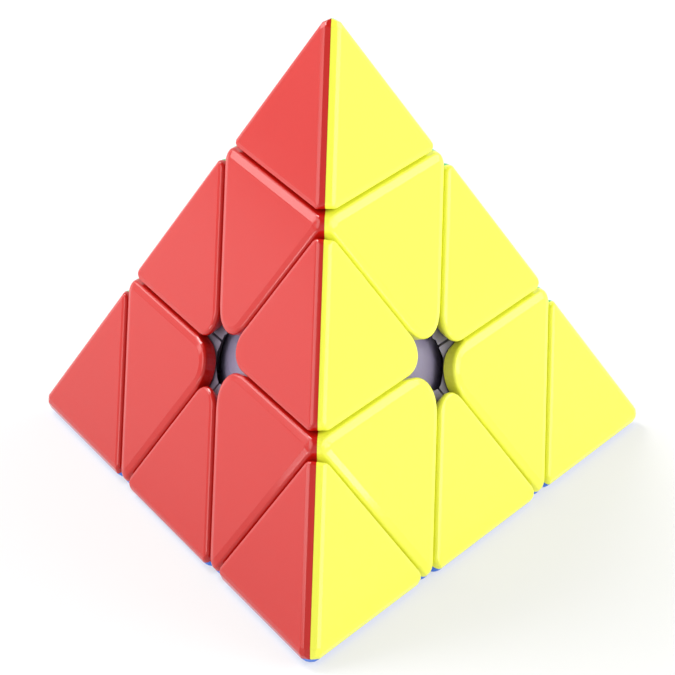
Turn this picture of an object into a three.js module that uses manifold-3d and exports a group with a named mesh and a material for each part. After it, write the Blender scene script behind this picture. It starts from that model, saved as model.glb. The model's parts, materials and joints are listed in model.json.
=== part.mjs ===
// Pyramid twisty puzzle: a tetrahedron of four layers that turn about the four corner axes, with a
// tip on each corner that turns on its own. Millimetres, +Z up, origin at the centre of the core,
// where the four turning axes cross. The puzzle stands on its lower face, with one corner on top.
//
// Every surface along which two pieces part is either a plane square to a turning axis or a sphere
// about the origin, so any one layer can turn without cutting through the rest.

import * as THREE from "three";
import { ConvexGeometry } from "three/addons/geometries/ConvexGeometry.js";
import { mergeVertices } from "three/addons/utils/BufferGeometryUtils.js";
import Module from "manifold-3d";

// ---- Driving dimensions --------------------------------------------------------------------

const EDGE_LENGTH = 98; // corner to corner over the rounded edges
const EDGE_ROUND = 1.7; // radius along the outer edges and on the corners
const LAYER_CUT = 7.3; // distance of a layer's turning plane from the centre
const TIP_CUT = 34.6; // distance of a tip's turning plane from the centre
const SIDE_GAP = 0.4; // space between pieces of the outer shell

const PETAL_THICKNESS = 2.3; // coloured plates
const PETAL_GAP = 0.3; // between a plate and its frame or its neighbour plate
const PEG_RADIUS = 1.4; // round peg that fixes a plate to its frame
const PEG_LENGTH = 2.2;
const PEG_SIDES = 8;
const AXIAL_HOLE_ROUND = 4.4; // corners round the hole in the middle of a face
const EDGE_HOLE_ROUND = 4;
const RIDGE_CORNER_ROUND = 1.8; // corners where a groove meets an outer edge

const BALL_RADIUS = 17.55; // outside of the core
const BALL_WALL = 2.5;
const FOOT_INNER = 17.85; // edge feet run in the shell between these two spheres
const FOOT_OUTER = 18.8;
const SHELL_INNER = 19.1; // underside of everything outside the feet
const FOOT_CUT = -0.8; // turning plane of a layer inside the shell of the feet
const FOOT_GAP = 0.3;
const SEAM_GAP = 0.3; // between the two halves of the core

const STALK_RADIUS = 4.4; // leg of an axial piece, standing on the core
const BOSS_RADIUS = 4; // screw boss inside the core
const BOSS_INNER_END = 7;
const BOSS_BORE = 1.75;

const SCREW_RADIUS = 1.45;
const SCREW_LENGTH = 19; // below the head
const SCREW_HEAD_RADIUS = 2.7;
const SCREW_HEAD_HEIGHT = 1.8;
const SCREW_HEAD_TOP = 29.6;
const SCREW_SLOT_WIDTH = 0.7;
const SCREW_SLOT_LENGTH = 3.2;
const SCREW_SLOT_DEPTH = 1;
const SPRING_RADIUS = 2.5; // at the middle of the wire
const SPRING_WIRE = 0.6;
const SPRING_TURNS = 4;
const SPRING_SEAT = 20.6; // floor of the spring's bore in an axial piece
const SPRING_BORE = 3.3;
const SHANK_BORE = 1.85;

const SOCKET_FLOOR = 30.2; // tip socket in the outer end of an axial piece
const SOCKET_LEDGE = 32;
const SOCKET_RADIUS = 5.3;
const SOCKET_NECK = 4.75;
const STUB_RADIUS = 4.4; // stub of a tip, which snaps into the socket
const STUB_LIP_RADIUS = 4.9;
const STUB_END = 30.6;
const STUB_LIP_TOP = 31.6;

const ROUND_SIDES = 16; // facets of stubs, sockets and bores
const SMALL_SIDES = 12; // facets of the bosses and their bores
const SPRING_STEPS = 8; // facets along one turn of a spring
const SPHERE_DETAIL = 4; // subdivision of the spheres about the centre
const HOLLOW_DETAIL = 2; // subdivision of the hollow inside the core
const ARC_STEPS = 3; // facets of a rounded corner
const ROUND_STEPS = 3; // facets across a rounded outer edge

// ---- Tetrahedron ---------------------------------------------------------------------------

const CORNERS = ["top", "front", "left", "right"];
const FACES = ["red", "yellow", "green", "blue"];

// The colour of a face is keyed by the corner opposite to it.
const FACE_OF_CORNER = { right: "red", left: "yellow", front: "green", top: "blue" };

// A rounded edge line is this much shorter than the sharp one, in radii.
const ROUNDING_LOSS = 3 * Math.sqrt(8 / 3) - 2;
const SHARP_EDGE = EDGE_LENGTH + ROUNDING_LOSS * EDGE_ROUND;
const HEIGHT = SHARP_EDGE * Math.sqrt(2 / 3);
const FACE_DISTANCE = HEIGHT / 4;
const CORNER_DISTANCE = (3 * HEIGHT) / 4;

const TILT_RADIUS = Math.sqrt(8) / 3; // sine of the angle between two turning axes
const AXIS = {
  top: new THREE.Vector3(0, 0, 1),
  front: new THREE.Vector3(0, -TILT_RADIUS, -1 / 3),
  left: new THREE.Vector3(-Math.sqrt(2 / 3), TILT_RADIUS / 2, -1 / 3),
  right: new THREE.Vector3(Math.sqrt(2 / 3), TILT_RADIUS / 2, -1 / 3),
};
const UP = new THREE.Vector3(0, 0, 1);

const EDGES = [
  ["top", "front"],
  ["top", "left"],
  ["top", "right"],
  ["front", "left"],
  ["left", "right"],
  ["right", "front"],
];

function outwardNormal(face) {
  const corner = CORNERS.find((name) => FACE_OF_CORNER[name] === face);
  return AXIS[corner].clone().negate();
}

function facesAtCorner(corner) {
  return FACES.filter((face) => FACE_OF_CORNER[corner] !== face);
}

function facesAtEdge(edge) {
  return FACES.filter((face) => edge.every((corner) => FACE_OF_CORNER[corner] !== face));
}

function otherCorners(...corners) {
  return CORNERS.filter((name) => !corners.includes(name));
}

// ---- Materials -----------------------------------------------------------------------------

function plastic(colour, roughness) {
  return new THREE.MeshStandardMaterial({ color: colour, roughness, metalness: 0 });
}

const MATERIALS = {
  red: plastic(0xe0453c, 0.3),
  yellow: plastic(0xf4f83c, 0.3),
  green: plastic(0x2fb457, 0.3),
  blue: plastic(0x2f6fd6, 0.3),
  frame: plastic(0xb9b9c4, 0.4),
  core: plastic(0x857f96, 0.3),
  steel: new THREE.MeshStandardMaterial({ color: 0xb8bcc2, roughness: 0.3, metalness: 1 }),
};

// ---- Solids --------------------------------------------------------------------------------

const wasm = await Module();
wasm.setup();

function solid(geometry) {
  const bare = geometry.index ? geometry.toNonIndexed() : geometry.clone();
  bare.deleteAttribute("normal");
  bare.deleteAttribute("uv");
  const merged = mergeVertices(bare);
  const corners = merged.index.array;
  const triangles = [];
  for (let i = 0; i < corners.length; i += 3) {
    const [a, b, c] = corners.slice(i, i + 3);
    const collapsed = a === b || b === c || c === a; // at the pole of a lathe or a sphere
    if (!collapsed) {
      triangles.push(a, b, c);
    }
  }
  return new wasm.Manifold(
    new wasm.Mesh({
      numProp: 3,
      vertProperties: new Float32Array(merged.attributes.position.array),
      triVerts: new Uint32Array(triangles),
    }),
  );
}

function geometryOf(manifold) {
  const mesh = manifold.getMesh();
  const geometry = new THREE.BufferGeometry();
  geometry.setAttribute("position", new THREE.BufferAttribute(mesh.vertProperties, 3));
  geometry.setIndex(new THREE.BufferAttribute(mesh.triVerts, 1));
  geometry.computeVertexNormals();
  return geometry;
}

function intersectAll(first, ...others) {
  return others.reduce((whole, next) => whole.intersect(next), first);
}

function uniteAll(first, ...others) {
  return others.reduce((whole, next) => whole.add(next), first);
}

function hull(points) {
  return solid(new ConvexGeometry(points));
}

// All points x with x . normal >= distance, as far as the puzzle reaches.
function halfSpace(normal, distance) {
  const reach = 2 * SHARP_EDGE;
  const block = new THREE.BoxGeometry(2 * reach, 2 * reach, reach);
  block.translate(0, 0, distance + reach / 2);
  block.applyQuaternion(new THREE.Quaternion().setFromUnitVectors(UP, normal));
  return solid(block);
}

function beyond(corner, distance) {
  return halfSpace(AXIS[corner], distance);
}

function within(corner, distance) {
  return halfSpace(AXIS[corner].clone().negate(), -distance);
}

function below(face, depth) {
  return halfSpace(outwardNormal(face).negate(), depth - FACE_DISTANCE);
}

function ball(radius, detail = SPHERE_DETAIL) {
  return solid(new THREE.IcosahedronGeometry(radius, detail));
}

// A solid of revolution about a corner axis, from [radius, distance from the centre] pairs.
function turned(corner, profile, sides = ROUND_SIDES) {
  const points = profile.map(([radius, distance]) => new THREE.Vector2(radius, distance));
  const lathe = new THREE.LatheGeometry(points, sides);
  lathe.rotateX(Math.PI / 2); // LatheGeometry turns about +Y, and this brings +Y to +Z
  lathe.applyQuaternion(new THREE.Quaternion().setFromUnitVectors(UP, AXIS[corner]));
  return solid(lathe);
}

function rod(corner, radius, from, to, sides = ROUND_SIDES) {
  return turned(corner, [[0, from], [radius, from], [radius, to], [0, to]], sides);
}

// ---- Outer body ----------------------------------------------------------------------------

// Directions spread over the rounding of a corner, between the normals of its three faces.
function roundingDirections(corner) {
  const [first, second, third] = facesAtCorner(corner).map(outwardNormal);
  const directions = [];
  for (let i = 0; i <= ROUND_STEPS; i += 1) {
    for (let j = 0; j <= ROUND_STEPS - i; j += 1) {
      const k = ROUND_STEPS - i - j;
      const mix = first.clone().multiplyScalar(i);
      mix.addScaledVector(second, j).addScaledVector(third, k);
      directions.push(mix.normalize());
    }
  }
  return directions;
}

function roundedTetrahedron() {
  const points = [];
  for (const corner of CORNERS) {
    const centre = AXIS[corner].clone().multiplyScalar(CORNER_DISTANCE - 3 * EDGE_ROUND);
    for (const direction of roundingDirections(corner)) {
      points.push(centre.clone().addScaledVector(direction, EDGE_ROUND));
    }
  }
  return hull(points);
}

const outerBody = roundedTetrahedron();
const shellBall = ball(SHELL_INNER);
const footInnerBall = ball(FOOT_INNER);

// ---- Coloured plates -----------------------------------------------------------------------

// In-plane axes of a face, seen from outside.
function faceFrame(face) {
  const normal = outwardNormal(face);
  const across = new THREE.Vector3().crossVectors(AXIS.top, normal);
  if (across.lengthSq() < 1e-6) {
    across.set(1, 0, 0);
  }
  across.normalize();
  const up = new THREE.Vector3().crossVectors(normal, across);
  return { normal, across, up };
}

// A plate is bounded by three turning planes, each { corner, distance, side }, with side 1 for
// the part beyond the plane and -1 for the part within it. This gives one bound as a line in a
// plane parallel to the face: x . direction >= offset.
function lineAtDepth(bound, frame, depth) {
  const axis = AXIS[bound.corner];
  const along = new THREE.Vector2(axis.dot(frame.across), axis.dot(frame.up));
  const length = along.length();
  const centreShare = axis.dot(frame.normal) * (FACE_DISTANCE - depth);
  return {
    direction: along.clone().multiplyScalar(bound.side / length),
    offset: (bound.side * (bound.distance - centreShare)) / length,
  };
}

function crossing(a, b) {
  const det = a.direction.x * b.direction.y - a.direction.y * b.direction.x;
  return new THREE.Vector2(
    (a.offset * b.direction.y - b.offset * a.direction.y) / det,
    (b.offset * a.direction.x - a.offset * b.direction.x) / det,
  );
}

// The rounded corner between two lines, as points of an arc that touches both.
function roundedCorner(a, b, radius) {
  const centre = crossing(
    { direction: a.direction, offset: a.offset + radius },
    { direction: b.direction, offset: b.offset + radius },
  );
  const points = [];
  for (let i = 0; i <= ARC_STEPS; i += 1) {
    const share = i / ARC_STEPS;
    const towards = a.direction.clone().multiplyScalar(1 - share);
    towards.addScaledVector(b.direction, share).normalize();
    points.push(centre.clone().addScaledVector(towards, -radius));
  }
  return points;
}

// An upright corner goes straight down from the face instead of following its two sides.
function outlineAtDepth(bounds, frame, depth) {
  const outline = [];
  bounds.forEach((bound, index) => {
    const next = bounds[(index + 1) % bounds.length];
    const cornerDepth = bound.upright ? 0 : depth;
    const sides = [bound, next].map((side) => lineAtDepth(side, frame, cornerDepth));
    outline.push(...roundedCorner(...sides, bound.roundWithNext));
  });
  return outline.map((point) =>
    frame.normal
      .clone()
      .multiplyScalar(FACE_DISTANCE - depth)
      .addScaledVector(frame.across, point.x)
      .addScaledVector(frame.up, point.y),
  );
}

function prism(bounds, face, depth) {
  const frame = faceFrame(face);
  return hull([...outlineAtDepth(bounds, frame, 0), ...outlineAtDepth(bounds, frame, depth)]);
}

// The side of the mitre between two faces that belongs to the first one.
function mitre(face, neighbour) {
  const away = outwardNormal(face).sub(outwardNormal(neighbour)).normalize();
  return halfSpace(away, PETAL_GAP / 2);
}

function peg(face, foot, radius, length) {
  const post = new THREE.CylinderGeometry(radius, radius, length, PEG_SIDES);
  post.rotateX(Math.PI / 2);
  post.translate(0, 0, -length / 2);
  post.applyQuaternion(new THREE.Quaternion().setFromUnitVectors(UP, outwardNormal(face)));
  post.translate(foot.x, foot.y, foot.z);
  return solid(post);
}

// Where a plate's peg leaves its underside: below the middle of the plate.
function pegFoot(bounds, face, depth) {
  const outline = outlineAtDepth(bounds, faceFrame(face), depth);
  const middle = new THREE.Vector3();
  outline.forEach((point) => middle.add(point));
  return middle.divideScalar(outline.length);
}

function plate(bounds, face, neighbours) {
  const mitres = neighbours.map((neighbour) => mitre(face, neighbour));
  const flat = intersectAll(prism(bounds, face, PETAL_THICKNESS), outerBody, ...mitres);
  const overlap = PETAL_THICKNESS / 2;
  const foot = pegFoot(bounds, face, overlap);
  return flat.subtract(shellBall).add(peg(face, foot, PEG_RADIUS, overlap + PEG_LENGTH));
}

function pegHole(bounds, face) {
  const foot = pegFoot(bounds, face, PETAL_THICKNESS / 2);
  const depth = PETAL_THICKNESS / 2 + PEG_LENGTH + PETAL_GAP;
  return peg(face, foot, PEG_RADIUS + PETAL_GAP, depth);
}

// ---- Scene graph ---------------------------------------------------------------------------

const puzzle = new THREE.Group();

function addPart(group, name, manifold, material) {
  const mesh = new THREE.Mesh(geometryOf(manifold), material);
  mesh.name = name;
  group.add(mesh);
}

// Adds a frame and its coloured plates. The plates' pegs stand in holes in the frame.
function addPiece(name, frameName, frameSolid, facePlates) {
  const group = new THREE.Group();
  const holes = facePlates.map(({ bounds, face }) => pegHole(bounds, face));
  const drilled = holes.reduce((whole, hole) => whole.subtract(hole), frameSolid);
  addPart(group, `${name}_${frameName}`, drilled, MATERIALS.frame);
  for (const { bounds, face } of facePlates) {
    const neighbours = facePlates.map((item) => item.face).filter((other) => other !== face);
    addPart(group, `${name}_${face}`, plate(bounds, face, neighbours), MATERIALS[face]);
  }
  puzzle.add(group);
}

// ---- Tips ----------------------------------------------------------------------------------

const FRAME_DEPTH = PETAL_THICKNESS + PETAL_GAP;
const TIP_FACE = TIP_CUT + SIDE_GAP / 2;
const AXIAL_TOP = TIP_CUT - SIDE_GAP / 2;
const EDGE_SIDE = LAYER_CUT + SIDE_GAP / 2;
const AXIAL_SIDE = LAYER_CUT - SIDE_GAP / 2;

// On one face, a tip is the triangle beyond its turning plane. Its two other sides are the outer
// edges, which the mitres and the outer body cut, so those bounds lie outside the face.
function tipBounds(corner, face) {
  const [second, third] = otherCorners(corner).filter((name) => FACE_OF_CORNER[name] !== face);
  const outside = -FACE_DISTANCE;
  return [
    { corner, distance: TIP_FACE, side: 1, roundWithNext: RIDGE_CORNER_ROUND },
    { corner: second, distance: outside, side: 1, roundWithNext: EDGE_ROUND },
    { corner: third, distance: outside, side: 1, roundWithNext: RIDGE_CORNER_ROUND },
  ];
}

function tipBase(corner) {
  const faces = facesAtCorner(corner);
  const insets = faces.map((face) => below(face, FRAME_DEPTH));
  const pyramid = intersectAll(beyond(corner, TIP_FACE), ...insets);
  const stub = turned(corner, [
    [0, STUB_END],
    [STUB_LIP_RADIUS, STUB_END],
    [STUB_LIP_RADIUS, STUB_LIP_TOP],
    [STUB_RADIUS, STUB_LIP_TOP],
    [STUB_RADIUS, TIP_FACE + 1],
    [0, TIP_FACE + 1],
  ]);
  return pyramid.add(stub);
}

for (const corner of CORNERS) {
  const facePlates = facesAtCorner(corner).map((face) => ({
    face,
    bounds: tipBounds(corner, face),
  }));
  addPiece(`tip_${corner}`, "base", tipBase(corner), facePlates);
}

// ---- Axial pieces --------------------------------------------------------------------------

function axialBounds(corner, face) {
  const [second, third] = otherCorners(corner).filter((name) => FACE_OF_CORNER[name] !== face);
  return [
    { corner, distance: AXIAL_TOP, side: -1, roundWithNext: RIDGE_CORNER_ROUND },
    {
      corner: second,
      distance: AXIAL_SIDE,
      side: -1,
      roundWithNext: AXIAL_HOLE_ROUND,
      upright: true,
    },
    { corner: third, distance: AXIAL_SIDE, side: -1, roundWithNext: RIDGE_CORNER_ROUND },
  ];
}

function axialFrame(corner) {
  const sides = otherCorners(corner).map((other) => within(other, AXIAL_SIDE));
  const insets = facesAtCorner(corner).map((face) => below(face, FRAME_DEPTH));
  const block = intersectAll(
    within(corner, AXIAL_TOP),
    beyond(corner, LAYER_CUT),
    ...sides,
    ...insets,
  ).subtract(shellBall);
  const leg = rod(corner, STALK_RADIUS, 0, SPRING_SEAT).subtract(footInnerBall);
  const bore = turned(corner, [
    [0, 0],
    [SHANK_BORE, 0],
    [SHANK_BORE, SPRING_SEAT],
    [SPRING_BORE, SPRING_SEAT],
    [SPRING_BORE, SOCKET_FLOOR],
    [SOCKET_RADIUS, SOCKET_FLOOR],
    [SOCKET_RADIUS, SOCKET_LEDGE],
    [SOCKET_NECK, SOCKET_LEDGE],
    [SOCKET_NECK, AXIAL_TOP + 1],
    [0, AXIAL_TOP + 1],
  ]);
  return block.add(leg).subtract(bore);
}

for (const corner of CORNERS) {
  const facePlates = facesAtCorner(corner).map((face) => ({
    face,
    bounds: axialBounds(corner, face),
  }));
  addPiece(`axial_${corner}`, "frame", axialFrame(corner), facePlates);
}

// ---- Edge pieces ---------------------------------------------------------------------------

function edgeBounds([first, second], face) {
  const third = otherCorners(first, second).find((name) => FACE_OF_CORNER[name] !== face);
  return [
    { corner: first, distance: EDGE_SIDE, side: 1, roundWithNext: EDGE_HOLE_ROUND },
    { corner: second, distance: EDGE_SIDE, side: 1, roundWithNext: RIDGE_CORNER_ROUND },
    { corner: third, distance: -FACE_DISTANCE, side: 1, roundWithNext: RIDGE_CORNER_ROUND },
  ];
}

// The foot hooks under the two axial pieces beside it and is held down by them.
function edgeFrame(edge) {
  const [first, second] = edge;
  const insets = facesAtEdge(edge).map((face) => below(face, FRAME_DEPTH));
  const wedge = intersectAll(beyond(first, EDGE_SIDE), beyond(second, EDGE_SIDE), ...insets);
  const block = wedge.subtract(shellBall);

  const clearOfOthers = otherCorners(first, second).map((other) =>
    within(other, FOOT_CUT - FOOT_GAP / 2),
  );
  const sector = intersectAll(
    beyond(first, FOOT_CUT + FOOT_GAP / 2),
    beyond(second, FOOT_CUT + FOOT_GAP / 2),
    ...clearOfOthers,
  );
  const foot = sector.intersect(ball(FOOT_OUTER)).subtract(footInnerBall);
  const neck = intersectAll(wedge, ...clearOfOthers).subtract(footInnerBall);
  return uniteAll(block, foot, neck);
}

for (const edge of EDGES) {
  const facePlates = facesAtEdge(edge).map((face) => ({ face, bounds: edgeBounds(edge, face) }));
  addPiece(`edge_${edge.join("_")}`, "frame", edgeFrame(edge), facePlates);
}

// ---- Core, screws and springs --------------------------------------------------------------

// The seam passes between the screw bosses, along the centre plane between the front edge of
// the puzzle and the rear one.
const seamNormal = AXIS.top.clone().add(AXIS.front).normalize();

function coreBall() {
  const bossTop = BALL_RADIUS - BALL_WALL / 2; // inside the wall
  const bosses = CORNERS.map((corner) =>
    rod(corner, BOSS_RADIUS, BOSS_INNER_END, bossTop, SMALL_SIDES),
  );
  const bores = CORNERS.map((corner) =>
    rod(corner, BOSS_BORE, BOSS_INNER_END - 1, BALL_RADIUS + 1, SMALL_SIDES),
  );
  const shell = ball(BALL_RADIUS).subtract(ball(BALL_RADIUS - BALL_WALL, HOLLOW_DETAIL));
  return bores.reduce((whole, bore) => whole.subtract(bore), uniteAll(shell, ...bosses));
}

const wholeCore = coreBall();
const frontHalf = wholeCore.intersect(halfSpace(seamNormal, SEAM_GAP / 2));
const rearHalf = wholeCore.intersect(halfSpace(seamNormal.clone().negate(), SEAM_GAP / 2));
addPart(puzzle, "core_front_half", frontHalf, MATERIALS.core);
addPart(puzzle, "core_rear_half", rearHalf, MATERIALS.core);

function screw(corner) {
  const shoulder = SCREW_HEAD_TOP - SCREW_HEAD_HEIGHT;
  const tip = shoulder - SCREW_LENGTH;
  const body = turned(corner, [
    [0, tip],
    [SCREW_RADIUS / 2, tip],
    [SCREW_RADIUS, tip + 1],
    [SCREW_RADIUS, shoulder],
    [SCREW_HEAD_RADIUS, shoulder],
    [SCREW_HEAD_RADIUS, shoulder + SCREW_HEAD_HEIGHT / 2],
    [SCREW_HEAD_RADIUS * 0.75, SCREW_HEAD_TOP],
    [0, SCREW_HEAD_TOP],
  ], SMALL_SIDES);
  const slots = [0, Math.PI / 2].map((turn) => {
    const slot = new THREE.BoxGeometry(SCREW_SLOT_LENGTH, SCREW_SLOT_WIDTH, 2 * SCREW_SLOT_DEPTH);
    slot.rotateZ(turn);
    slot.translate(0, 0, SCREW_HEAD_TOP);
    slot.applyQuaternion(new THREE.Quaternion().setFromUnitVectors(UP, AXIS[corner]));
    return solid(slot);
  });
  return slots.reduce((whole, slot) => whole.subtract(slot), body);
}

class Helix extends THREE.Curve {
  constructor(radius, height, turns) {
    super();
    this.radius = radius;
    this.height = height;
    this.turns = turns;
  }

  getPoint(share, target = new THREE.Vector3()) {
    const angle = share * this.turns * 2 * Math.PI;
    return target.set(
      this.radius * Math.cos(angle),
      this.radius * Math.sin(angle),
      share * this.height,
    );
  }
}

function spring(corner) {
  const shoulder = SCREW_HEAD_TOP - SCREW_HEAD_HEIGHT;
  const room = PETAL_GAP + SPRING_WIRE / 2;
  const height = shoulder - SPRING_SEAT - 2 * room;
  const section = new THREE.Shape().absarc(0, 0, SPRING_WIRE / 2, 0, 2 * Math.PI);
  const coil = new THREE.ExtrudeGeometry(section, {
    steps: SPRING_TURNS * SPRING_STEPS,
    curveSegments: 3,
    extrudePath: new Helix(SPRING_RADIUS, height, SPRING_TURNS),
  });
  coil.translate(0, 0, SPRING_SEAT + room);
  coil.applyQuaternion(new THREE.Quaternion().setFromUnitVectors(UP, AXIS[corner]));
  return solid(coil);
}

for (const corner of CORNERS) {
  addPart(puzzle, `screw_${corner}`, screw(corner), MATERIALS.steel);
  addPart(puzzle, `spring_${corner}`, spring(corner), MATERIALS.steel);
}

export default puzzle;
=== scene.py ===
"""Looks of the pyramid twisty puzzle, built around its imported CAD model. Lengths are in metres."""

import itertools  # noqa: E402
import json  # noqa: E402
import math  # noqa: E402

import bmesh  # noqa: E402
import bpy  # noqa: E402
import numpy as np  # noqa: E402
from mathutils import Matrix, Vector  # noqa: E402


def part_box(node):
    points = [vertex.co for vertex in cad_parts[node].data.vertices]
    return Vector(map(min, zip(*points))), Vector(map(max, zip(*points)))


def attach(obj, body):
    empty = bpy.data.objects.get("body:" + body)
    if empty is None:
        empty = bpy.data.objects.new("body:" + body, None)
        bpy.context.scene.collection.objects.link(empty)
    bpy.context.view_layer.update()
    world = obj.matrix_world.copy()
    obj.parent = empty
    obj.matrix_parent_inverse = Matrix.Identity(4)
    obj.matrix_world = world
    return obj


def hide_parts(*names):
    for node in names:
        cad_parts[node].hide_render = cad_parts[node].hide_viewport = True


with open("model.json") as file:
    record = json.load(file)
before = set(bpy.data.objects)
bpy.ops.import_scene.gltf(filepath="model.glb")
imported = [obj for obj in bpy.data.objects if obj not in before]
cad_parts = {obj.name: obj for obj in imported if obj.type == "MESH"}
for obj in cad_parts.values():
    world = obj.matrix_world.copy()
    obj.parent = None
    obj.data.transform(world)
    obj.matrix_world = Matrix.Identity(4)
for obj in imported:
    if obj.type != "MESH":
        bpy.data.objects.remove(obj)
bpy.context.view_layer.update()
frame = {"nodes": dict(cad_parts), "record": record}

MM = 0.001

# ---- Driving dimensions ----------------------------------------------------------------------

FACE_DISTANCE = -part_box("axial_front_blue")[0].z  # from the centre to a face
EDGE_ROUND = 1.7 * MM  # along the outer edges and on the corners
LAYER_CUT = 7.3 * MM  # distance of a layer's turning plane from the centre
TIP_CUT = 34.6 * MM
GROOVE_GAP = 0.36 * MM  # between two pieces, at the bottom of a groove
GROOVE_FILLET = 0.6 * MM
CROWNS = (  # sloping bands beside a groove: how far from the wall each starts, and its slope
    (1.2 * MM, math.radians(12)),
    (0.6 * MM, math.radians(27)),
)
AXIAL_HOLE_ROUND = 4.4 * MM  # corners round the hole in the middle of a face
EDGE_HOLE_ROUND = 4.0 * MM
AXIAL_END_ROUND = 1.8 * MM  # where an axial piece's narrow ends meet the outer edges
NOSE_ROUND = 1.4 * MM  # where the other pieces' grooves meet the outer edges
CORNER_ROUND = 2.1 * MM  # on the four corners of the puzzle
PLATE_DEPTH = 2.3 * MM
MITRE_GAP = 0.02 * MM
BALL_RADIUS = 17.55 * MM
BALL_WALL = 2.5 * MM
BALL_CHAMFER = 0.12 * MM  # along the seam between the two halves of the core
SEAM_GAP = 0.05 * MM

FACET_ANGLE = math.radians(12.2)  # largest turn between two facets of a rounded surface
CORNER_STEPS = 5  # facets along each side of a rounded corner
BALL_STEPS = 24
BALL_SIDES = 72
SAME_POINT = 0.001 * MM
SAME_DIRECTION = 1e-4
SAME_PLANE = math.radians(0.02)
SMALLEST_DETERMINANT = 1e-5  # of three planes that meet in one point

# ---- Tetrahedron -----------------------------------------------------------------------------

CORNERS = ("top", "front", "left", "right")
FACES = ("red", "yellow", "green", "blue")
FACE_OPPOSITE = {"right": "red", "left": "yellow", "front": "green", "top": "blue"}
TILT = math.sqrt(8) / 3
AXIS = {
    "top": Vector((0, 0, 1)),
    "front": Vector((0, -TILT, -1 / 3)),
    "left": Vector((-math.sqrt(2 / 3), TILT / 2, -1 / 3)),
    "right": Vector((math.sqrt(2 / 3), TILT / 2, -1 / 3)),
}
NORMAL = {face: -AXIS[corner] for corner, face in FACE_OPPOSITE.items()}
EDGES = (
    ("top", "front"),
    ("top", "left"),
    ("top", "right"),
    ("front", "left"),
    ("left", "right"),
    ("right", "front"),
)


def faces_touching(*corners):
    """The faces that hold all of these corners."""
    return [face for face in FACES if all(FACE_OPPOSITE[c] != face for c in corners)]


def corners_of(face):
    return [corner for corner in CORNERS if FACE_OPPOSITE[corner] != face]


# ---- Rounded convex solids -------------------------------------------------------------------
# A solid is a convex core polyhedron, given by its planes (normal, distance), with a ball of the
# fillet's radius rolled round it. Each point of the surface belongs to one vertex of the core
# and one outward direction.


def fan(first, last):
    """Unit directions from first to last, in even turns no larger than FACET_ANGLE."""
    steps = max(1, math.ceil(first.angle(last) / FACET_ANGLE - 1e-6))
    return [first.slerp(last, i / steps) for i in range(steps + 1)]


def rounding_planes(first, last, radius):
    """Facets that round the edge between two planes, each (normal, distance)."""
    (n1, d1), (n2, d2) = first, last
    cosine = n1.dot(n2)
    along_1 = ((d1 - radius) - (d2 - radius) * cosine) / (1 - cosine**2)
    along_2 = ((d2 - radius) - (d1 - radius) * cosine) / (1 - cosine**2)
    centre = n1 * along_1 + n2 * along_2
    return [(n, centre.dot(n) + radius) for n in fan(n1, n2)[1:-1]]


def core_vertices(normals, distances):
    """Vertices of the polyhedron inside all of the planes."""
    triples = np.array(list(itertools.combinations(range(len(normals)), 3)))
    matrices = normals[triples]
    solvable = np.abs(np.linalg.det(matrices)) > SMALLEST_DETERMINANT
    rows = distances[triples[solvable]][..., None]
    points = np.linalg.solve(matrices[solvable], rows)[..., 0]
    inside = (points @ normals.T <= distances + SAME_POINT / 4).all(axis=1)
    found = []
    for point in points[inside]:
        if all(np.linalg.norm(point - other) > SAME_POINT for other in found):
            found.append(point)
    return np.array(found)


def sphere_directions():
    mesh = bmesh.new()
    bmesh.ops.create_icosphere(mesh, subdivisions=4, radius=1)
    directions = [vertex.co.normalized() for vertex in mesh.verts]
    mesh.free()
    return directions


SPHERE = sphere_directions()


def rounded_solid(planes, fillet):
    """Mesh of a core polyhedron with a fillet. Its layer surface_normal holds shading normals."""
    normals = np.array([normal for normal, _ in planes])
    distances = np.array([distance for _, distance in planes])
    vertices = core_vertices(normals, distances)
    on_plane = np.abs(vertices @ normals.T - distances) < SAME_POINT
    directions = [Vector(n) for n, members in zip(normals, on_plane.T) if members.sum() > 2]
    for one, two in itertools.combinations(range(len(planes)), 2):
        if (on_plane[:, one] & on_plane[:, two]).sum() > 1:
            directions += fan(planes[one][0], planes[two][0])[1:-1]
    exact = len(directions)
    directions += SPHERE
    heights = vertices @ np.array(directions).T
    supports = heights > heights.max(axis=0) - SAME_POINT
    mesh = bmesh.new()
    for index, vertex in enumerate(vertices):
        kept = []
        for number in np.flatnonzero(supports[index]):
            direction = directions[number]
            crowded = FACET_ANGLE / 2 if number >= exact else SAME_DIRECTION
            if all(direction.angle(other) > crowded for other in kept):
                kept.append(direction)
                mesh.verts.new(Vector(vertex) + direction * fillet)
    bmesh.ops.remove_doubles(mesh, verts=mesh.verts[:], dist=SAME_POINT)
    hull = bmesh.ops.convex_hull(mesh, input=mesh.verts[:])
    inner = {item for item in hull["geom_interior"] + hull["geom_unused"]}
    spare = [item for item in inner if isinstance(item, bmesh.types.BMVert) and item.is_valid]
    bmesh.ops.delete(mesh, geom=spare, context="VERTS")
    bmesh.ops.dissolve_limit(
        mesh, angle_limit=SAME_PLANE, verts=mesh.verts[:], edges=mesh.edges[:]
    )
    bmesh.ops.recalc_face_normals(mesh, faces=mesh.faces[:])
    layer = mesh.verts.layers.float_vector.new("surface_normal")
    # The square of the area keeps the flats flat, and bends only the narrow bands beside them.
    weighted = {face: face.normal * (face.calc_area() / MM**2) ** 2 for face in mesh.faces}
    for vertex in mesh.verts:
        vertex[layer] = sum((weighted[face] for face in vertex.link_faces), Vector()).normalized()
    return mesh


# ---- Objects ---------------------------------------------------------------------------------


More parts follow.
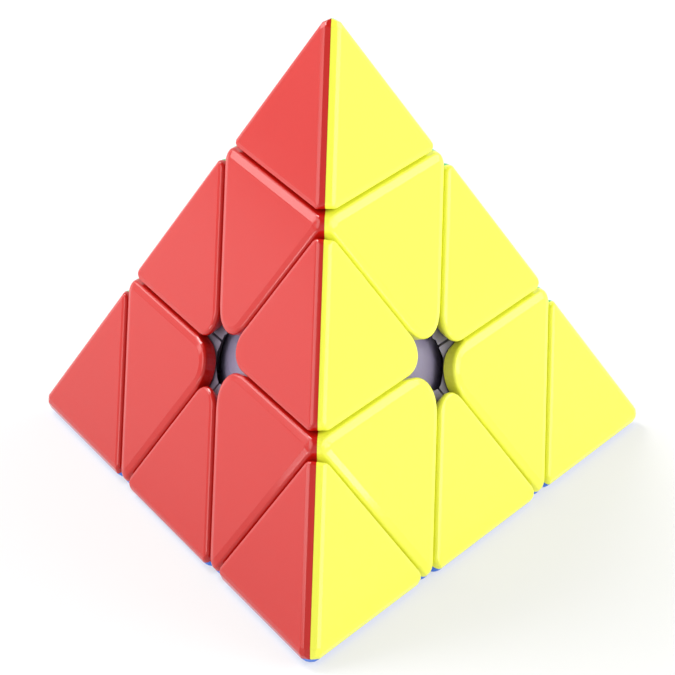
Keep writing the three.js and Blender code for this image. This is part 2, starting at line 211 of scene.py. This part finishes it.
def keep_side(mesh, normal, distance):
    """Cuts away the part of a mesh with x . normal < distance, and closes the cut."""
    cut = bmesh.ops.bisect_plane(
        mesh,
        geom=mesh.verts[:] + mesh.edges[:] + mesh.faces[:],
        dist=1e-8,
        plane_co=normal * distance,
        plane_no=normal,
        clear_inner=True,
    )
    rim = [item for item in cut["geom_cut"] if isinstance(item, bmesh.types.BMEdge)]
    if rim:
        flat = bmesh.ops.edgeloop_fill(mesh, edges=[e for e in rim if e.is_boundary])
        for face in flat["faces"]:
            face.material_index = 1  # marks a cut, until the object gets its materials


def object_from(mesh, name):
    """A scene object from a bmesh, with smooth shading from the surface_normal layer."""
    bmesh.ops.recalc_face_normals(mesh, faces=mesh.faces[:])
    layer = mesh.verts.layers.float_vector.get("surface_normal")
    normals = []
    for face in mesh.faces:
        face.normal_update()
        face.smooth = True
        for loop in face.loops:
            true_normal = Vector(loop.vert[layer]) if layer else face.normal
            rounded = face.material_index == 0 and true_normal.length > 0.1
            normals.append((true_normal if rounded else face.normal).normalized())
        face.material_index = 0
    data = bpy.data.meshes.new(name)
    mesh.to_mesh(data)
    mesh.free()
    data.normals_split_custom_set(normals)
    made = bpy.data.objects.new(name, data)
    bpy.context.scene.collection.objects.link(made)
    return made


# ---- Materials -------------------------------------------------------------------------------


def node(tree, kind, **values):
    made = tree.nodes.new(kind)
    for name, value in values.items():
        if name in made.inputs:
            made.inputs[name].default_value = value
        else:
            setattr(made, name, value)
    return made


DRIFT_SCALE = 45.0  # slow changes in colour and gloss, about 20 mm across
GRAIN_SCALE = 2600.0
DARKEST_TINT = 0.965
GLOSS_DRIFT = 0.12
MOULD_GRAIN = 0.004 * MM  # depth of the fine relief
METAL_GRAIN = 0.01 * MM
GRAIN_STRENGTH = 0.12


def plastic(name, colour, roughness, grain=MOULD_GRAIN):
    """Moulded plastic: slow drift in colour and gloss, and a fine moulding grain as bump."""
    material = bpy.data.materials.new(name)
    material.use_nodes = True
    tree = material.node_tree
    shader = tree.nodes["Principled BSDF"]
    shader.inputs["IOR"].default_value = 1.5
    place = node(tree, "ShaderNodeTexCoord")

    drift = node(tree, "ShaderNodeTexNoise", Scale=DRIFT_SCALE, Detail=3.0, Roughness=0.5)
    tree.links.new(place.outputs["Object"], drift.inputs["Vector"])
    tint = node(tree, "ShaderNodeMix", data_type="RGBA")
    tint.inputs[6].default_value = (*[c * DARKEST_TINT for c in colour], 1)
    tint.inputs[7].default_value = (*colour, 1)
    tree.links.new(drift.outputs["Fac"], tint.inputs[0])
    tree.links.new(tint.outputs[2], shader.inputs["Base Color"])

    gloss = node(tree, "ShaderNodeMapRange")
    gloss.inputs["From Min"].default_value = 0.3
    gloss.inputs["From Max"].default_value = 0.7
    gloss.inputs["To Min"].default_value = roughness * (1 - GLOSS_DRIFT)
    gloss.inputs["To Max"].default_value = roughness * (1 + GLOSS_DRIFT)
    tree.links.new(drift.outputs["Fac"], gloss.inputs["Value"])
    tree.links.new(gloss.outputs["Result"], shader.inputs["Roughness"])

    fine = node(tree, "ShaderNodeTexNoise", Scale=GRAIN_SCALE, Detail=2.0, Roughness=0.6)
    tree.links.new(place.outputs["Object"], fine.inputs["Vector"])
    bump = node(tree, "ShaderNodeBump", Strength=GRAIN_STRENGTH, Distance=grain)
    tree.links.new(fine.outputs["Fac"], bump.inputs["Height"])
    tree.links.new(bump.outputs["Normal"], shader.inputs["Normal"])
    return material


def metal(name, colour, roughness):
    """Plated or drawn steel with a slightly deeper grain."""
    material = plastic(name, colour, roughness, METAL_GRAIN)
    material.node_tree.nodes["Principled BSDF"].inputs["Metallic"].default_value = 1.0
    return material


MATERIALS = {
    "red_plastic": plastic("red_plastic", (0.51, 0.010, 0.006), 0.13),
    "yellow_plastic": plastic("yellow_plastic", (0.90, 0.92, 0.075), 0.13),
    "green_plastic": plastic("green_plastic", (0.03, 0.50, 0.12), 0.13),
    "blue_plastic": plastic("blue_plastic", (0.03, 0.17, 0.70), 0.13),
    "frame_plastic": plastic("frame_plastic", (0.22, 0.20, 0.27), 0.42),
    "core_plastic": plastic("core_plastic", (0.25, 0.22, 0.33), 0.3),
    "screw_steel": metal("screw_steel", (0.62, 0.63, 0.65), 0.28),
    "spring_steel": metal("spring_steel", (0.55, 0.56, 0.58), 0.32),
}


def finish_piece(piece, body, nodes, slot):
    piece.data.materials.append(MATERIALS[slot])
    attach(piece, body)
    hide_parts(*nodes)


# ---- Outer pieces ----------------------------------------------------------------------------

HALF_GAP = GROOVE_GAP / 2
INSET_ROUND = EDGE_ROUND - GROOVE_FILLET


def face_plane(face):
    return (NORMAL[face], FACE_DISTANCE - GROOVE_FILLET)


def beyond(corner, distance):
    """Plane of a solid that lies beyond a turning plane, moved in by the fillet."""
    return (-AXIS[corner], -(distance + HALF_GAP + GROOVE_FILLET))


def within(corner, distance):
    return (AXIS[corner], distance - HALF_GAP - GROOVE_FILLET)


def ridge_planes(first, last):
    """Facets along the outer edge between two corners."""
    one, other = faces_touching(first, last)
    return rounding_planes(face_plane(one), face_plane(other), INSET_ROUND)


def nose_planes(wall, first, last):
    """Facets that round the corner between a groove's wall and an outer edge."""
    along_edge = ridge_planes(first, last)
    crest = along_edge[len(along_edge) // 2]
    return rounding_planes(wall, crest, NOSE_ROUND - GROOVE_FILLET)


def crown_plane(face, wall, width, slope):
    """A band of a face that slopes down to one wall."""
    normal, wall_normal = NORMAL[face], wall[0]
    cosine = normal.dot(wall_normal)
    wall_distance = wall[1] + GROOVE_FILLET
    outward = (wall_normal - normal * cosine) / math.sqrt(1 - cosine**2)
    reach = (wall_distance - FACE_DISTANCE * cosine) / math.sqrt(1 - cosine**2)
    start = normal * FACE_DISTANCE + outward * (reach - width)
    sloped = normal * math.cos(slope) + outward * math.sin(slope)
    return sloped, sloped.dot(start) - GROOVE_FILLET


def corner_planes(corner):
    """Facets over a corner of the puzzle, between the normals of its three faces."""
    centre = AXIS[corner] * 3 * (FACE_DISTANCE - CORNER_ROUND)
    one, two, three = [NORMAL[face] for face in faces_touching(corner)]
    planes = []
    for i in range(CORNER_STEPS):
        for j in range(CORNER_STEPS + 1 - i):
            k = CORNER_STEPS - i - j
            if max(i, j, k) == CORNER_STEPS:
                continue
            direction = (one * i + two * j + three * k).normalized()
            reach = CORNER_ROUND - GROOVE_FILLET
            planes.append((direction, centre.dot(direction) + reach))
    return planes


# Each of the next functions gives the planes of a piece, and apart from those the planes of the
# groove walls that end in the face in question.


def tip_body(corner, face):
    wall = beyond(corner, TIP_CUT)
    planes = [face_plane(side) for side in faces_touching(corner)] + corner_planes(corner)
    for other in CORNERS:
        if other != corner:
            planes += ridge_planes(corner, other) + nose_planes(wall, corner, other)
    return planes, [wall]


def axial_body(corner, face):
    top = within(corner, TIP_CUT)
    planes = [beyond(corner, LAYER_CUT)]
    planes += [face_plane(side) for side in faces_touching(corner)]
    walls = [top] + upright_planes(corner, face)
    for other in CORNERS:
        if other != corner:
            side = within(other, LAYER_CUT)
            planes += ridge_planes(corner, other)
            kept = walls if other in corners_of(face) else planes
            kept += [side] + rounding_planes(top, side, AXIAL_END_ROUND - GROOVE_FILLET)
    return planes, walls


def edge_body(edge, face):
    sides = [beyond(corner, LAYER_CUT) for corner in edge]
    planes = [face_plane(side) for side in faces_touching(*edge)] + ridge_planes(*edge)
    for side in sides:
        planes += nose_planes(side, *edge)
    return planes, sides + rounding_planes(*sides, EDGE_HOLE_ROUND - GROOVE_FILLET)


def upright_planes(corner, face):
    """Facets square to a face that round an axial plate's corner at the hole."""
    normal = NORMAL[face]
    in_plane = []
    for side in corners_of(face):
        if side != corner:
            axis, distance = within(side, LAYER_CUT)
            share = axis.dot(normal)
            along = axis - normal * share
            reach = (distance + GROOVE_FILLET - share * FACE_DISTANCE) / along.length
            in_plane.append((along.normalized(), reach - GROOVE_FILLET))
    return rounding_planes(*in_plane, AXIAL_HOLE_ROUND - GROOVE_FILLET)


def make_plates(piece, faces, body_of, place):
    """The coloured plates of one piece, each cut from its own rounded body."""
    for face in faces:
        planes, walls = body_of(place, face)
        crowns = [crown_plane(face, wall, *crown) for wall in walls for crown in CROWNS]
        plate = rounded_solid(planes + walls + crowns, GROOVE_FILLET)
        for other in faces:
            if other != face:
                across = (NORMAL[face] - NORMAL[other]).normalized()
                keep_side(plate, across, MITRE_GAP / 2)
        keep_side(plate, NORMAL[face], FACE_DISTANCE - PLATE_DEPTH)
        made = object_from(plate, f"{piece}_{face}_plate")
        finish_piece(made, piece, [f"{piece}_{face}"], f"{face}_plastic")


for corner in CORNERS:
    faces = faces_touching(corner)
    make_plates(f"tip_{corner}", faces, tip_body, corner)
    make_plates(f"axial_{corner}", faces, axial_body, corner)

for edge in EDGES:
    make_plates("edge_" + "_".join(edge), faces_touching(*edge), edge_body, edge)

# ---- Core ------------------------------------------------------------------------------------


def turn_profile(profile, sides):
    """Mesh of a closed solid of revolution about Z, from (radius, height) pairs."""
    mesh = bmesh.new()
    rings = []
    for radius, height in profile:
        if radius < SAME_POINT:
            rings.append([mesh.verts.new((0, 0, height))] * sides)
            continue
        ring = []
        for i in range(sides):
            angle = 2 * math.pi * i / sides
            place = (radius * math.cos(angle), radius * math.sin(angle), height)
            ring.append(mesh.verts.new(place))
        rings.append(ring)
    for lower, upper in zip(rings, rings[1:] + rings[:1]):
        for i in range(sides):
            corners = [lower[i - 1], lower[i], upper[i], upper[i - 1]]
            unique = [v for j, v in enumerate(corners) if v != corners[j - 1]]
            if len(unique) > 2:
                mesh.faces.new(unique)
    return mesh


def half_ball(name, seam_normal):
    """One hollow half of the core ball: an arc profile turned about the seam's normal."""
    rim = SEAM_GAP / 2
    inner = BALL_RADIUS - BALL_WALL
    start = math.asin((rim + BALL_CHAMFER) / BALL_RADIUS)
    profile = [(inner, rim), (BALL_RADIUS - BALL_CHAMFER, rim)]
    for i in range(BALL_STEPS + 1):
        angle = start + (math.pi / 2 - start) * i / BALL_STEPS
        profile.append((BALL_RADIUS * math.cos(angle), BALL_RADIUS * math.sin(angle)))
    for i in range(BALL_STEPS, 0, -1):
        angle = math.pi / 2 * i / BALL_STEPS
        profile.append((inner * math.cos(angle), inner * math.sin(angle)))
    turned = turn_profile(profile, BALL_SIDES)
    turned.transform(Vector((0, 0, 1)).rotation_difference(seam_normal).to_matrix().to_4x4())
    return object_from(turned, name)


SEAM = (AXIS["top"] + AXIS["front"]).normalized()
for half, direction in (("front", SEAM), ("rear", -SEAM)):
    made = half_ball(f"core_{half}_shell", direction)
    for polygon in made.data.polygons:
        polygon.use_smooth = True
    made.data.normals_split_custom_set([(0, 0, 0)] * len(made.data.loops))
    finish_piece(made, "core", [f"core_{half}_half"], "core_plastic")

# ---- CAD nodes that stay ---------------------------------------------------------------------

for row in frame["record"]["subparts"]:
    kept = frame["nodes"][row["node"]]
    if not kept.hide_render:
        kept.data.materials.clear()
        kept.data.materials.append(MATERIALS[row["material_slot"]])

# ---- Stage, light and camera -----------------------------------------------------------------

scene = bpy.context.scene
scene.view_settings.view_transform = "Standard"

FLOOR_Z = -FACE_DISTANCE
FLOOR_SIZE = 4.0
FLOOR_DROP = 0.1 * MM  # under the puzzle's lowest plates
FLOOR_GREY = 0.35
FLOOR_GLOW = 0.58  # the floor is a light table, so that it stays nearly white under the puzzle


def make_floor():
    """A pale floor that runs far behind the puzzle."""
    mesh = bmesh.new()
    bmesh.ops.create_grid(mesh, x_segments=4, y_segments=4, size=FLOOR_SIZE / 2)
    data = bpy.data.meshes.new("floor")
    mesh.to_mesh(data)
    mesh.free()
    floor = bpy.data.objects.new("floor", data)
    floor.location.z = FLOOR_Z - FLOOR_DROP
    scene.collection.objects.link(floor)
    material = bpy.data.materials.new("floor_paper")
    material.use_nodes = True
    shader = material.node_tree.nodes["Principled BSDF"]
    shader.inputs["Base Color"].default_value = (FLOOR_GREY, FLOOR_GREY, FLOOR_GREY, 1)
    shader.inputs["Roughness"].default_value = 0.9
    shader.inputs["Specular IOR Level"].default_value = 0.1
    shader.inputs["Emission Color"].default_value = (1, 1, 1, 1)
    shader.inputs["Emission Strength"].default_value = FLOOR_GLOW
    data.materials.append(material)


def area_light(name, azimuth, elevation, distance, size, power):
    """A square softbox that points at the puzzle. Angles in degrees, power in watts."""
    light = bpy.data.lights.new(name, "AREA")
    light.size = size
    light.energy = power
    lamp = bpy.data.objects.new(name, light)
    back = view_back(azimuth, elevation)
    lamp.location = back * distance
    lamp.rotation_mode = "QUATERNION"
    lamp.rotation_quaternion = back.to_track_quat("Z", "Y")
    scene.collection.objects.link(lamp)


def floor_panel(name, x, y, size, power):
    """A light panel let into the floor beside the puzzle, shining upwards."""
    light = bpy.data.lights.new(name, "AREA")
    light.size = size
    light.energy = power
    lamp = bpy.data.objects.new(name, light)
    lamp.location = (x, y, FLOOR_Z + 0.001)
    lamp.rotation_euler = (math.pi, 0, 0)
    scene.collection.objects.link(lamp)


def view_back(azimuth, elevation):
    """Direction from the puzzle towards a viewer. Azimuth 0 is in front, in degrees."""
    turn, rise = math.radians(azimuth), math.radians(elevation)
    flat = math.cos(rise)
    return Vector((math.sin(turn) * flat, -math.cos(turn) * flat, math.sin(rise)))


WALL_TOP = 0.35  # height of the walls' top edge, as a share of the way to the zenith
WALL_LIGHT = 0.95
CEILING_LIGHT = 0.2

CAMERA_AZIMUTH = 3.2
CAMERA_ELEVATION = 25.16
CAMERA_DISTANCE = 0.6157
CAMERA_AIM = Vector((0.77, 2.4, 5.0)) * MM
SENSOR_WIDTH = 36.0
LENS = 209.6


def make_camera():
    data = bpy.data.cameras.new("camera")
    data.sensor_width = SENSOR_WIDTH
    data.lens = LENS
    data.clip_start = 0.01
    data.clip_end = 20
    camera = bpy.data.objects.new("camera", data)
    back = view_back(CAMERA_AZIMUTH, CAMERA_ELEVATION)
    camera.location = CAMERA_AIM + back * CAMERA_DISTANCE
    camera.rotation_mode = "QUATERNION"
    camera.rotation_quaternion = back.to_track_quat("Z", "Y")
    scene.collection.objects.link(camera)
    scene.camera = camera


def make_world():
    """White studio walls, darker towards the ceiling."""
    world = bpy.data.worlds.new("studio")
    world.use_nodes = True
    tree = world.node_tree
    place = node(tree, "ShaderNodeTexCoord")
    split = node(tree, "ShaderNodeSeparateXYZ")
    fade = node(tree, "ShaderNodeMapRange", interpolation_type="SMOOTHSTEP")
    fade.inputs["From Min"].default_value = WALL_TOP
    fade.inputs["From Max"].default_value = 1.0
    fade.inputs["To Min"].default_value = WALL_LIGHT
    fade.inputs["To Max"].default_value = CEILING_LIGHT
    tree.links.new(place.outputs["Generated"], split.inputs[0])
    tree.links.new(split.outputs["Z"], fade.inputs["Value"])
    tree.links.new(fade.outputs["Result"], tree.nodes["Background"].inputs["Strength"])
    tree.nodes["Background"].inputs["Color"].default_value = (1, 1, 1, 1)
    scene.world = world


make_floor()
make_world()
area_light("key", -130, 50, 1.0, 0.4, 6.0)
area_light("left", -75, 25, 0.8, 0.5, 1.8)
area_light("right", 78, 25, 0.8, 0.5, 2.4)
area_light("left_rear", -116, 24, 1.0, 0.5, 2.2)
area_light("right_rear", 114, 24, 1.0, 0.5, 2.0)
floor_panel("left_panel", -0.19, -0.10, 0.15, 0.35)
floor_panel("right_panel", 0.19, -0.10, 0.15, 0.35)
make_camera()
